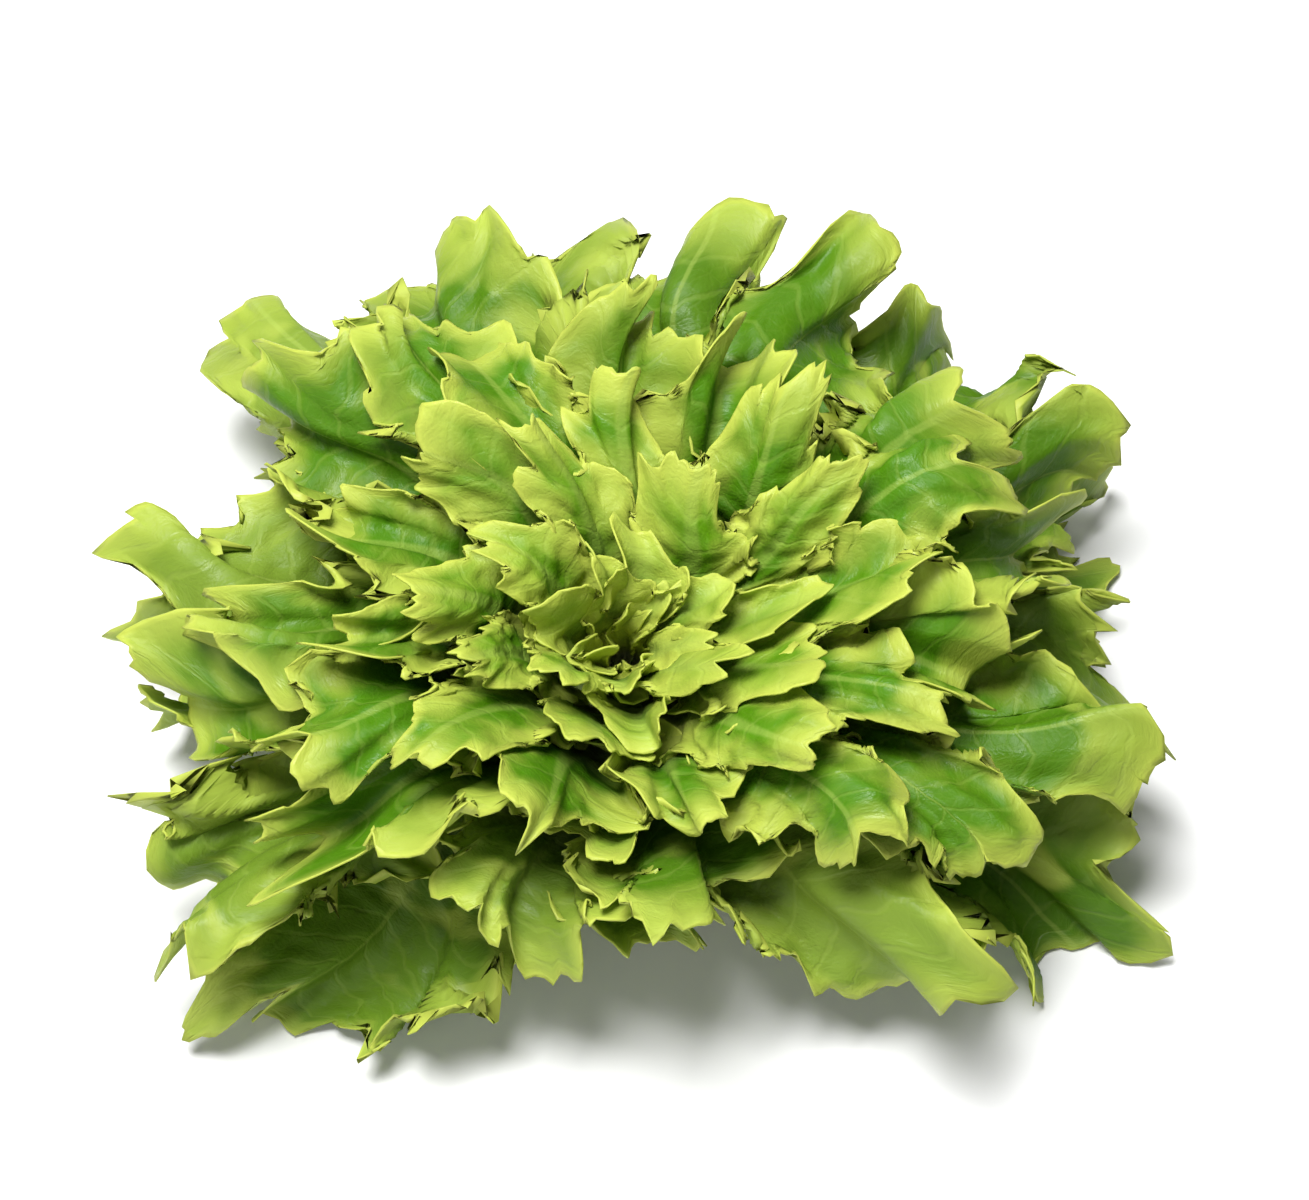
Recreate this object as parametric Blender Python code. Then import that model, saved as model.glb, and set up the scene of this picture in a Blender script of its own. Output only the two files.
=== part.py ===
"""A cut head of broad-leaved endive, resting on the cut face of its crown.

Every leaf is a solid of its own. The leaves stand round the crown in the golden-angle
spiral in which the plant grows them, youngest and most upright first. Each leaf follows
a rib that leaves the crown at its own slope. A later leaf always starts lower and leans
further out, so the leaves lie over each other like cards in a fan. A leaf that would
still cross one already there is drawn again, calmer each time, until it lies clear.
The youngest leaves of all are fused on a small core, the heart.

Metres, +Z up. The origin is the middle of the cut face. The viewer's side is -Y.
"""

import math
import random

import bmesh
import bpy
from mathutils.bvhtree import BVHTree

# Crown: the short stem that is left when the head is cut from its root
CUT_RADIUS = 0.021
CROWN_RADIUS = 0.022
CROWN_WAIST_HEIGHT = 0.013
CROWN_DOME_HEIGHT = 0.024
CROWN_TOP_HEIGHT = 0.0325
CROWN_SIDES = 28
CROWN_RINGS = 5

# Spiral of single leaves, from the heart outwards
LEAF_COUNT = 56
INNER_LEAVES = 18
MIDDLE_LEAVES = 19
GOLDEN_ANGLE = math.radians(137.508)
FIRST_AZIMUTH = math.radians(14.0)
AZIMUTH_PLAY = math.radians(7.0)

# Order of a leaf in the head: 0 at the growing point and 1 at the foot
FIRST_ORDER = 0.20
ORDER_CROWDING = 0.90
ORDER_STEP = (1.0 - FIRST_ORDER) / LEAF_COUNT

# Draws of a leaf's random shape; the last is the calmest, narrowest and lowest
LEAF_SEED = 7700
DRAWS = 60
CALMEST = 0.1
NARROWEST = 0.75
LOWEST_STEPS = 3.0
NEIGHBOUR_GAP = 0.0003

# Size of a leaf at the heart's edge, halfway and at the foot of the head
LENGTHS = (0.090, 0.130, 0.154)
HALF_WIDTHS = (0.018, 0.032, 0.047)
LENGTH_PLAY = 0.06
WIDTH_PLAY = 0.12
CORNER_LENGTH = 0.18
SIDE_LENGTH = 0.05
NOTCH_AZIMUTH = math.radians(268.0)
NOTCH_SHORTENING = 0.34
NOTCH_NARROWNESS = 20
PETIOLE_HALVES = (0.0045, 0.0075)
RIB_THICKNESSES = (0.0012, 0.0026)
BLADE_THICKNESS = 0.0009
CROWN_GAP = 0.0004
CURL_EASE = 0.003

# Rib slopes in degrees above the horizontal, at the crown and one reach away from it, and
# the reach of a leaf at the growing point and at the foot
BASE_SLOPES = (86.0, 69.5, 16.0)
TIP_SLOPES = (-105.0, -66.0, -60.0)
REACHES = (0.135, 0.170)
RIB_STEPS = 40
RIB_LENGTH = 1.25 * REACHES[1]

# Outline of a blade, as shares of its half width or of its length
SIDE_TEETH = 4.0
TOOTH_DEPTH = 0.12
TOOTH_SHARPNESS = 1.5
TIP_TOOTH_DEPTH = 0.025
TIP_ROUNDING = 0.22
TIP_SHARE = 0.92
SIDE_TOOTH_SIZES = 5

# Folds of a blade, as shares of the room below it
ROOM_STEPS = 5.0
FOLD_SHARES = (0.85, 1.25)
CUP_SHARES = (0.1, 0.7)
TILT_SHARE = 0.4
SWAY = 0.10
STEEPEST = 1.2
WAVES = (6.5, 9.0)
WAVE_PLAY = 0.8
WAVE_DRIFT = 0.7
WAVE_CENTRE = 0.28
GATHER = 0.15

# Heart: the youngest leaves, fused on a core that stands on the crown's flat top
HEART_LEAVES = 10
HEART_SEED = 9300
HEART_CALM = 0.6
HEART_FOOT = CROWN_TOP_HEIGHT + NEIGHBOUR_GAP
HEART_ROOT_HEIGHT = HEART_FOOT + 0.0025
HEART_ROOT_RADII = (0.0020, 0.0085)
HEART_LENGTHS = (0.060, 0.076, 0.084)
HEART_HALF_WIDTHS = (0.010, 0.016, 0.020)
HEART_CORE = (
    # radius and height above the foot, up to the tip
    (0.0100, 0.0),
    (0.0112, 0.0040),
    (0.0108, 0.0120),
    (0.0085, 0.0190),
    (0.0045, 0.0235),
)
HEART_CORE_TIP = 0.025
HEART_CORE_SIDES = 14

# How the whole head has settled on the table
OVAL = 0.84
LEAN = 0.26
SIDE_LEAN = 0.45
LEAN_HEIGHT = 0.020
LEAN_REACH = 0.125
REAR_RISE = 0.15
REAR_EASE = 0.080
FLOOR_CLEARANCE = 0.0014
FLOOR_EASE = 0.012
STILL_REACH = 0.030
SWELL_REACH = 0.110
SWELLS = (
    # length of the swell, how far it moves a point, phase
    (0.110, 0.0055, 0.4),
    (0.060, 0.0010, 2.3),
)

# Cells across and along a leaf
LEAF_GRID = (6, 8)
HEART_GRID = (4, 5)

# Colours, from the heart to the foot
HEART_GREEN = (0.56, 0.66, 0.12)
INNER_GREEN = (0.42, 0.60, 0.06)
MIDDLE_GREEN = (0.26, 0.47, 0.04)
OUTER_GREEN = (0.17, 0.34, 0.05)
CROWN_WHITE = (0.74, 0.76, 0.52)
LEAF_ROUGHNESS = 0.5


def mix(low, high, share):
    return low + (high - low) * share


def ramp(start, end, value):
    """0 below start and 1 above end, smooth between them."""
    share = min(1.0, max(0.0, (value - start) / (end - start)))
    return share * share * (3.0 - 2.0 * share)


def through(three, share):
    """A smooth curve through three values, at share 0, one half and 1."""
    first, middle, last = three
    return (
        first * (1.0 - share) * (1.0 - 2.0 * share)
        + middle * 4.0 * share * (1.0 - share)
        + last * share * (2.0 * share - 1.0)
    )


def tooth(position):
    """1 at the point of a tooth, at each whole number, and -1 in the hollow between two."""
    return 2.0 * abs(2.0 * (position % 1.0) - 1.0) ** TOOTH_SHARPNESS - 1.0


def on_dome(order, gap=0.0):
    """Radius and height on the crown's dome, or a gap outside it, for a leaf's order."""
    rise = math.asin(max(0.0, 1.0 - order))
    radius = (CROWN_RADIUS + gap) * math.cos(rise)
    height = CROWN_WAIST_HEIGHT + (CROWN_DOME_HEIGHT + gap) * math.sin(rise)
    return radius, height


def root(order):
    """Radius and height at which a leaf of this order grows: in the core or on the crown."""
    if order < FIRST_ORDER:
        return mix(*HEART_ROOT_RADII, order / FIRST_ORDER), HEART_ROOT_HEIGHT
    return on_dome(order, CROWN_GAP)


def rib_slope(order, along):
    """The rib's slope a distance along it, in radians: a young leaf curls over sooner."""
    base, tip = through(BASE_SLOPES, order), through(TIP_SLOPES, order)
    return math.radians(base + (tip - base) * (along / mix(*REACHES, order)) ** 2)


def lean_over(x, y, z):
    """The round head turned oval, its middle leaning to the front and a little to +X."""
    far = (x * x + y * y) / LEAN_REACH**2
    lean = LEAN * z * z / (z + LEAN_HEIGHT) * math.exp(-far)
    return x + SIDE_LEAN * lean, OVAL * y - lean, z


def settle(x, y, z):
    """Where a point of the growing, round head lies in the settled one on the table."""
    reach = ramp(STILL_REACH, SWELL_REACH, math.sqrt(x * x + y * y + z * z))
    for length, far, phase in SWELLS:
        turn = 2.0 * math.pi / length
        x += far * reach * math.sin(turn * (y + 1.1 * z) + phase)
        y += far * reach * math.sin(turn * (0.9 * z - x) + 2.0 * phase)
        z += far * reach * math.sin(turn * (x + 0.8 * y) + 3.0 * phase)
    z += REAR_RISE * max(0.0, y) * ramp(0.0, REAR_EASE, y)
    if z < FLOOR_EASE:
        room = FLOOR_EASE - FLOOR_CLEARANCE
        z = FLOOR_EASE - room * math.tanh((FLOOR_EASE - z) / room)
    return lean_over(x, y, z)


def further(azimuth):
    """How much longer the lowest leaves are: more to the corners and +X, less at the notch."""
    corner = CORNER_LENGTH * math.sin(2.0 * azimuth) ** 2
    facing = max(0.0, math.cos(azimuth - NOTCH_AZIMUTH)) ** NOTCH_NARROWNESS
    return corner + SIDE_LENGTH * math.cos(azimuth) - NOTCH_SHORTENING * facing


class Leaf:
    """One leaf: u runs across it from -1 to 1, and v along it from 0 at its root to 1."""

    def __init__(self, order, azimuth, length, half_width, seed, calm):
        rng = random.Random(seed)
        self.order = order
        self.azimuth = azimuth
        self.length = length * rng.uniform(1.0 - LENGTH_PLAY, 1.0 + LENGTH_PLAY)
        self.length *= 1.0 + order * further(azimuth)
        self.half_width = half_width * rng.uniform(1.0 - WIDTH_PLAY, 1.0 + WIDTH_PLAY)
        self.petiole = mix(*PETIOLE_HALVES, order)
        self.rib = mix(*RIB_THICKNESSES, order)
        self.sway = rng.uniform(-SWAY, SWAY)
        self.tilt = calm * rng.uniform(-TILT_SHARE, TILT_SHARE)
        self.cup = calm * rng.uniform(*CUP_SHARES)
        self.waves = mix(*WAVES, order) + rng.uniform(-WAVE_PLAY, WAVE_PLAY)
        self.phase = rng.uniform(0.0, 2.0 * math.pi)
        self.drift = rng.uniform(0.0, 2.0 * math.pi)
        self.fold = calm * rng.uniform(*FOLD_SHARES)
        self.teeth = [rng.uniform(0.45, 1.5) for _ in range(2 * SIDE_TOOTH_SIZES + 2)]
        self.walk_rib()

    def walk_rib(self):
        """Radius, height, slope and room below the rib at even steps from its root."""
        next_order = self.order + ROOM_STEPS * ORDER_STEP
        radius, height = root(self.order)
        next_radius, next_height = root(next_order)
        step = RIB_LENGTH / RIB_STEPS
        self.walk = []
        for index in range(RIB_STEPS + 1):
            slope = rib_slope(self.order, index * step)
            next_slope = rib_slope(next_order, index * step)
            room = math.hypot(next_radius - radius, next_height - height)
            self.walk.append((radius, height, slope, room))
            radius += step * math.cos(slope)
            height += step * math.sin(slope)
            next_radius += step * math.cos(next_slope)
            next_height += step * math.sin(next_slope)

    def on_rib(self, along):
        """Radius, height, slope and room a distance along the rib."""
        place = min(max(along / RIB_LENGTH, 0.0), 0.999) * RIB_STEPS
        index = int(place)
        near = zip(self.walk[index], self.walk[index + 1])
        return [mix(before, after, place - index) for before, after in near]

    def outline(self, u, v):
        """The flat blade: how far across and how far along the rib a point lies."""
        width = mix(self.petiole, self.half_width, ramp(0.05, 0.64, v))
        width *= 1.0 - (1.0 - TIP_SHARE) * ramp(0.62, 1.06, v) ** 1.3
        side = SIDE_TEETH * v + 0.5
        which = round(side) % SIDE_TOOTH_SIZES + (SIDE_TOOTH_SIZES if u > 0.0 else 0)
        cut = TOOTH_DEPTH * tooth(side) * self.teeth[which]
        cut *= ramp(0.20, 0.45, v) * (1.0 - ramp(0.85, 1.0, v))
        across = u * width * (1.0 + cut * abs(u) ** 3)
        along = v * (1.0 - TIP_ROUNDING * u * u * v * v)
        end = tooth(1.5 * u + 0.5) * self.teeth[2 * SIDE_TOOTH_SIZES + (u > 0.0)]
        along += TIP_TOOTH_DEPTH * end * v**8
        return across, along * self.length

    def place(self, u, v):
        """A point of the leaf's upper face, in the settled head."""
        across, along = self.outline(u, v)
        room = self.on_rib(along)[3]
        edge = u * u + v**5 - u * u * v**5
        high = self.fold * room * edge * ramp(0.20, 0.60, v)
        beyond = along - WAVE_CENTRE * self.length
        steepest = STEEPEST * (math.hypot(across, beyond) + CURL_EASE) / self.waves
        high *= steepest / math.hypot(high, steepest)
        turn = math.atan2(across, beyond)
        wave = self.waves * turn + self.phase
        wave += WAVE_DRIFT * math.sin(2.0 * turn + self.drift)
        gather = -GATHER * high * math.sin(2.0 * wave)
        across += gather * math.cos(turn)
        along -= gather * math.sin(turn)
        above = high * math.sin(wave)
        above += room * (self.cup * u * u + self.tilt * u) * ramp(0.0, 0.5, v)
        radius, height, slope, room = self.on_rib(along)
        around = self.azimuth + across / (radius + CURL_EASE) + self.sway * v * v
        radius -= above * math.sin(slope)
        height += above * math.cos(slope)
        return settle(radius * math.cos(around), radius * math.sin(around), height)

    def thickness(self, u, v):
        """Thick along the rib near the root, and thin at the margin."""
        return mix(self.rib, BLADE_THICKNESS, max(abs(u) ** 0.7, ramp(0.15, 0.95, v)))


def heart_leaf(index):
    share = index / (HEART_LEAVES - 1)
    return Leaf(
        FIRST_ORDER * (index + 0.5) / HEART_LEAVES,
        FIRST_AZIMUTH - (HEART_LEAVES - index) * GOLDEN_ANGLE,
        through(HEART_LENGTHS, share),
        through(HEART_HALF_WIDTHS, share),
        HEART_SEED + index,
        HEART_CALM,
    )


def single_leaf(index, draw):
    """One draw of a leaf's random shape; later draws are calmer, narrower and lower."""
    share = index / (LEAF_COUNT - 1)
    late = draw / (DRAWS - 1)
    order = mix(FIRST_ORDER, 1.0, share**ORDER_CROWDING)
    seed = LEAF_SEED + index * DRAWS + draw
    play = random.Random(-seed).uniform(-AZIMUTH_PLAY, AZIMUTH_PLAY)
    return Leaf(
        order + LOWEST_STEPS * ORDER_STEP * late,
        FIRST_AZIMUTH + index * GOLDEN_ANGLE + play,
        through(LENGTHS, share),
        through(HALF_WIDTHS, share) * mix(1.0, NARROWEST, late),
        seed,
        mix(1.0, CALMEST, late),
    )


def leaf_name(index):
    if index < INNER_LEAVES:
        return f"inner_leaf_{index + 1:02d}"
    index -= INNER_LEAVES
    if index < MIDDLE_LEAVES:
        return f"middle_leaf_{index + 1:02d}"
    return f"outer_leaf_{index - MIDDLE_LEAVES + 1:02d}"


def material(name, colour):
    made = bpy.data.materials.new(name)
    made.use_nodes = True
    shader = made.node_tree.nodes["Principled BSDF"]
    shader.inputs["Base Color"].default_value = (*colour, 1.0)
    shader.inputs["Roughness"].default_value = LEAF_ROUGHNESS
    shader.inputs["Metallic"].default_value = 0.0
    return made


def add_object(name, bm, finish):
    mesh = bpy.data.meshes.new(name)
    bm.to_mesh(mesh)
    bm.free()
    mesh.materials.append(finish)
    made = bpy.data.objects.new(name, mesh)
    bpy.context.scene.collection.objects.link(made)
    return made


def add_leaf(name, leaf, finish, grid):
    """A leaf as a thin solid: a waved sheet and the same one again, its thickness below."""
    bm = bmesh.new()
    bmesh.ops.create_grid(bm, x_segments=grid[0], y_segments=grid[1], size=1.0)
    thicknesses = {}
    for vert in bm.verts:
        u, v = vert.co.x, (vert.co.y + 1.0) / 2.0
        thicknesses[vert] = leaf.thickness(u, v)
        vert.co = leaf.place(u, v)
    bmesh.ops.triangulate(bm, faces=bm.faces[:], quad_method="FIXED")
    bm.normal_update()
    downs = {vert: vert.normal * thickness for vert, thickness in thicknesses.items()}
    bmesh.ops.extrude_face_region(bm, geom=bm.faces[:], use_keep_orig=True)
    for vert, down in downs.items():
        vert.co += down
    bmesh.ops.triangulate(bm, faces=bm.faces[:])
    bmesh.ops.recalc_face_normals(bm, faces=bm.faces[:])
    return add_object(name, bm, finish)


def turned(name, rings, tip, sides, finish):
    """A solid turned from rings of a radius and a height, flat on top if it has no tip."""
    bm = bmesh.new()
    loops = []
    for radius, height in rings:
        made = bmesh.ops.create_circle(bm, cap_ends=False, segments=sides, radius=radius)
        bmesh.ops.translate(bm, verts=made["verts"], vec=(0.0, 0.0, height))
        loops.append(list({edge for vert in made["verts"] for edge in vert.link_edges}))
    for lower, upper in zip(loops, loops[1:]):
        bmesh.ops.bridge_loops(bm, edges=lower + upper)
    bmesh.ops.contextual_create(bm, geom=loops[0])
    cap = bmesh.ops.contextual_create(bm, geom=loops[-1])["faces"]
    if tip:
        point = bmesh.ops.poke(bm, faces=cap)["verts"][0]
        point.co.z = tip
    bmesh.ops.recalc_face_normals(bm, faces=bm.faces[:])
    for vert in bm.verts:
        vert.co = lean_over(*vert.co)
    return add_object(name, bm, finish)


def add_crown(finish):
    flat_order = 1.0 - (CROWN_TOP_HEIGHT - CROWN_WAIST_HEIGHT) / CROWN_DOME_HEIGHT
    rings = [(CUT_RADIUS, 0.0)]
    for ring in range(CROWN_RINGS + 1):
        rings.append(on_dome(mix(1.0, flat_order, ring / CROWN_RINGS)))
    return turned("crown", rings, None, CROWN_SIDES, finish)


def islands(bm):
    """The faces of each connected piece of a mesh."""
    left = set(bm.faces)
    found = []
    while left:
        front = [left.pop()]
        island = list(front)
        while front:
            near = {face for edge in front.pop().edges for face in edge.link_faces} & left
            left -= near
            front.extend(near)
            island.extend(near)
        found.append(island)
    return found


def keep_largest_piece(mesh):
    """Drops loose scraps, and fills hollows that the joining has sealed."""
    bm = bmesh.new()
    bm.from_mesh(mesh)
    for scrap in sorted(islands(bm), key=len)[:-1]:
        bmesh.ops.delete(bm, geom=scrap, context="FACES")
    bmesh.ops.triangulate(bm, faces=bm.faces[:])
    bm.to_mesh(mesh)
    bm.free()


def add_heart(finish):
    """The youngest leaves joined to their core in one body."""
    pieces = bpy.data.collections.new("heart_pieces")
    bpy.context.scene.collection.children.link(pieces)
    rings = [(radius, HEART_FOOT + height) for radius, height in HEART_CORE]
    heart = turned("heart", rings, HEART_FOOT + HEART_CORE_TIP, HEART_CORE_SIDES, finish)
    for index in range(HEART_LEAVES):
        leaf = add_leaf(f"heart_leaf_{index + 1:02d}", heart_leaf(index), finish, HEART_GRID)
        bpy.context.scene.collection.objects.unlink(leaf)
        pieces.objects.link(leaf)
    join = heart.modifiers.new("leaves", "BOOLEAN")
    join.operation = "UNION"
    join.operand_type = "COLLECTION"
    join.collection = pieces
    join.solver = "MANIFOLD"
    graph = bpy.context.evaluated_depsgraph_get()
    joined = bpy.data.meshes.new_from_object(heart.evaluated_get(graph))
    heart.modifiers.clear()
    heart.data = joined
    keep_largest_piece(joined)
    for leaf in list(pieces.objects):
        bpy.data.objects.remove(leaf, do_unlink=True)
    bpy.data.collections.remove(pieces)
    return heart


def surface(made):
    """The finished faces of an object, to test what crosses them."""
    points = [vert.co for vert in made.data.vertices]
    faces = [face.vertices for face in made.data.polygons]
    return BVHTree.FromPolygons(points, faces, epsilon=NEIGHBOUR_GAP)


def crosses_itself(made):
    """Whether two faces that share no corner cut each other."""
    points = [vert.co for vert in made.data.vertices]
    faces = [tuple(face.vertices) for face in made.data.polygons]
    tree = BVHTree.FromPolygons(points, faces)
    return any(not set(faces[one]) & set(faces[other]) for one, other in tree.overlap(tree))


def add_clear_leaf(index, finish, neighbours):
    """A leaf in the first of its draws that lies clear of all that is there already."""
    for draw in range(DRAWS):
        made = add_leaf(leaf_name(index), single_leaf(index, draw), finish, LEAF_GRID)
        faces = surface(made)
        crossed = crosses_itself(made) or any(faces.overlap(other) for other in neighbours)
        if not crossed:
            neighbours.append(faces)
            return
        bpy.data.objects.remove(made, do_unlink=True)
    raise ValueError(f"no draw of {leaf_name(index)} lies clear of its neighbours")


def build():
    for old in list(bpy.data.objects):
        bpy.data.objects.remove(old, do_unlink=True)
    greens = {
        "inner": material("inner_leaf", INNER_GREEN),
        "middle": material("middle_leaf", MIDDLE_GREEN),
        "outer": material("outer_leaf", OUTER_GREEN),
    }
    crown = add_crown(material("crown", CROWN_WHITE))
    heart = add_heart(material("heart", HEART_GREEN))
    neighbours = [surface(crown), surface(heart)]
    for index in range(LEAF_COUNT):
        group = leaf_name(index).split("_")[0]
        add_clear_leaf(index, greens[group], neighbours)


build()
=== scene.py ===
# %% [markdown]
# # A head of broad-leaved endive
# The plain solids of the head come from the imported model: a crown, a heart and 56 leaves,
# each a coarse, folded sheet. This lesson dresses them. Every leaf is made again on the same
# curves with thousands of faces, so that it can carry its teeth, ruffles, veins and blisters.

# %% The frame and its size
import math
import random
from types import SimpleNamespace

import bmesh
import bpy
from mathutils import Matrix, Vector, noise
from mathutils.kdtree import KDTree


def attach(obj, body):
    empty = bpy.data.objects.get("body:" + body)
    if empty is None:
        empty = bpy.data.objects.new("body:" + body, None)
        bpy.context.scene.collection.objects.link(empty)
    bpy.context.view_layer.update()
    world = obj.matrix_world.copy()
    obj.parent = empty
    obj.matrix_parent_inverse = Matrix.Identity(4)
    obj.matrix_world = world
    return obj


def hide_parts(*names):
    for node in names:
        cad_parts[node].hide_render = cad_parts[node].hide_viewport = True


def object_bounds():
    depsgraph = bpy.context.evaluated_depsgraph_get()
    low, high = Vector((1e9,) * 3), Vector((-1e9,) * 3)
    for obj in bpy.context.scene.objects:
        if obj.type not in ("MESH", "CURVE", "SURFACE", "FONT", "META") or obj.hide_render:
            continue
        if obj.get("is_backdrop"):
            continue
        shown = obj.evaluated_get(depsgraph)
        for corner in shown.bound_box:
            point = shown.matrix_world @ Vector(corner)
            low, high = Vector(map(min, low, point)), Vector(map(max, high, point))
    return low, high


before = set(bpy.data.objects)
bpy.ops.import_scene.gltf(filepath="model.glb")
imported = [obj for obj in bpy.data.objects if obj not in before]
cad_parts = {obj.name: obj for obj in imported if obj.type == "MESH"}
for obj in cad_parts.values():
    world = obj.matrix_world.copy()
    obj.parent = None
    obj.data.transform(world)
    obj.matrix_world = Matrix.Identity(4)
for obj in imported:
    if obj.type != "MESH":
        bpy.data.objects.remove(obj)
solid_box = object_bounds()
print("nodes in the frame:", len(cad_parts))

# %% [markdown]
# ## Small helpers
# Plants are described with shares: how old a leaf is between the growing point and the foot,
# how far along its rib a point lies. These helpers turn such shares into smooth values.

# %% Shares into values
def mix(low, high, share):
    return low + (high - low) * share


def ramp(start, end, value):
    """0 below start and 1 above end, smooth between them."""
    share = min(1.0, max(0.0, (value - start) / (end - start)))
    return share * share * (3.0 - 2.0 * share)


def through(three, share):
    """A smooth curve through three values, at share 0, one half and 1."""
    first, middle, last = three
    return (
        first * (1.0 - share) * (1.0 - 2.0 * share)
        + middle * 4.0 * share * (1.0 - share)
        + last * share * (2.0 * share - 1.0)
    )


TOOTH_SHARPNESS = 1.5


def tooth(position):
    """1 at the point of a tooth, at each whole number, and -1 in the hollow between two."""
    return 2.0 * abs(2.0 * (position % 1.0) - 1.0) ** TOOTH_SHARPNESS - 1.0


print("a tooth's point, flank and hollow:", tooth(0.0), round(tooth(0.2), 2), tooth(0.5))

# %% [markdown]
# ## Where a leaf grows
# The stem is cut from its root with one stroke, and the leaves stand round the stub in the
# golden-angle spiral. A leaf's order runs from 0 at the growing point to 1 at the foot. It
# decides where on the domed crown the leaf starts and how steeply its rib climbs.

# %% Crown and spiral
CROWN_RADIUS = 0.022
CROWN_WAIST_HEIGHT = 0.013
CROWN_DOME_HEIGHT = 0.024
CROWN_TOP_HEIGHT = 0.0325
CROWN_GAP = 0.0004
LEAF_COUNT = 56
INNER_LEAVES = 18
MIDDLE_LEAVES = 19
GOLDEN_ANGLE = math.radians(137.508)
FIRST_AZIMUTH = math.radians(14.0)
AZIMUTH_PLAY = math.radians(7.0)
FIRST_ORDER = 0.20
ORDER_CROWDING = 0.90
ORDER_STEP = (1.0 - FIRST_ORDER) / LEAF_COUNT
HEART_ROOT_HEIGHT = CROWN_TOP_HEIGHT + 0.0028
HEART_ROOT_RADII = (0.0020, 0.0085)


def root(order):
    """Radius and height at which a leaf of this order grows: in the heart or on the crown."""
    if order < FIRST_ORDER:
        return mix(*HEART_ROOT_RADII, order / FIRST_ORDER), HEART_ROOT_HEIGHT
    rise = math.asin(max(0.0, 1.0 - order))
    radius = (CROWN_RADIUS + CROWN_GAP) * math.cos(rise)
    height = CROWN_WAIST_HEIGHT + (CROWN_DOME_HEIGHT + CROWN_GAP) * math.sin(rise)
    return radius, height


print("the foot's leaves start at radius and height, mm:", [round(1000 * x, 1) for x in root(1.0)])

# %% [markdown]
# ## How a rib bends
# An endive leaf leaves the stem steeply when it is young and almost level when it is old, and
# its own weight bends it over. A slope that falls with the square of the distance from the
# root gives a stiff stalk and a drooping end.

# %% Slope of a rib
BASE_SLOPES = (86.0, 69.5, 16.0)
TIP_SLOPES = (-105.0, -66.0, -60.0)
REACHES = (0.135, 0.170)


def rib_slope(order, along):
    """The rib's slope a distance along it, in radians: a young leaf curls over sooner."""
    base, tip = through(BASE_SLOPES, order), through(TIP_SLOPES, order)
    return math.radians(base + (tip - base) * (along / mix(*REACHES, order)) ** 2)


print("an inner rib starts at", round(math.degrees(rib_slope(FIRST_ORDER, 0.0))), "degrees")

# %% [markdown]
# ## How the head has settled
# A head that has been carried and set down is never round. The whole spiral is pressed a
# little oval, its middle leans towards the viewer, slow swells run through all the leaves
# together, and the lowest leaves flatten on the table.

# %% From the growing head to the settled one
OVAL = 0.84
LEAN = 0.26
SIDE_LEAN = 0.45
LEAN_HEIGHT = 0.020
LEAN_REACH = 0.125
REAR_RISE = 0.15
REAR_EASE = 0.080
FLOOR_CLEARANCE = 0.0014
FLOOR_EASE = 0.012
STILL_REACH = 0.030
SWELL_REACH = 0.110
SWELLS = (
    # length of the swell, how far it moves a point, phase
    (0.110, 0.0055, 0.4),
    (0.060, 0.0010, 2.3),
)


def lean_over(x, y, z):
    """The round head turned oval, its middle leaning to the front and a little to +X."""
    far = (x * x + y * y) / LEAN_REACH**2
    lean = LEAN * z * z / (z + LEAN_HEIGHT) * math.exp(-far)
    return x + SIDE_LEAN * lean, OVAL * y - lean, z


def settle(x, y, z):
    """Where a point of the growing, round head lies in the settled one on the table."""
    reach = ramp(STILL_REACH, SWELL_REACH, math.sqrt(x * x + y * y + z * z))
    for length, far, phase in SWELLS:
        turn = 2.0 * math.pi / length
        x += far * reach * math.sin(turn * (y + 1.1 * z) + phase)
        y += far * reach * math.sin(turn * (0.9 * z - x) + 2.0 * phase)
        z += far * reach * math.sin(turn * (x + 0.8 * y) + 3.0 * phase)
    z += REAR_RISE * max(0.0, y) * ramp(0.0, REAR_EASE, y)
    if z < FLOOR_EASE:
        room = FLOOR_EASE - FLOOR_CLEARANCE
        z = FLOOR_EASE - room * math.tanh((FLOOR_EASE - z) / room)
    return lean_over(x, y, z)


print("swells of", [round(1000 * swell[0]) for swell in SWELLS], "mm run through the head")

# %% [markdown]
# ## One leaf's own character
# No two leaves are alike: length, width, tilt, folds and teeth are drawn at random, from a
# seed, so that the head is the same each time it is made.

# %% Values of a leaf
LENGTH_PLAY = 0.06
WIDTH_PLAY = 0.12
CORNER_LENGTH = 0.18
SIDE_LENGTH = 0.05
NOTCH_AZIMUTH = math.radians(268.0)
NOTCH_SHORTENING = 0.34
NOTCH_NARROWNESS = 20
PETIOLE_HALVES = (0.0045, 0.0075)
RIB_THICKNESSES = (0.0012, 0.0026)
TILT_SHARE = 0.4
CUP_SHARES = (0.1, 0.7)
SWAY = 0.10
WAVES = (6.5, 9.0)
WAVE_PLAY = 0.8
FOLD_SHARES = (0.85, 1.25)
SIDE_TOOTH_SIZES = 5
FINE_TOOTH_SIZES = 24


def further(azimuth):
    """How much longer the lowest leaves are: more to the corners and +X, less at the notch."""
    corner = CORNER_LENGTH * math.sin(2.0 * azimuth) ** 2
    facing = max(0.0, math.cos(azimuth - NOTCH_AZIMUTH)) ** NOTCH_NARROWNESS
    return corner + SIDE_LENGTH * math.cos(azimuth) - NOTCH_SHORTENING * facing


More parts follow.
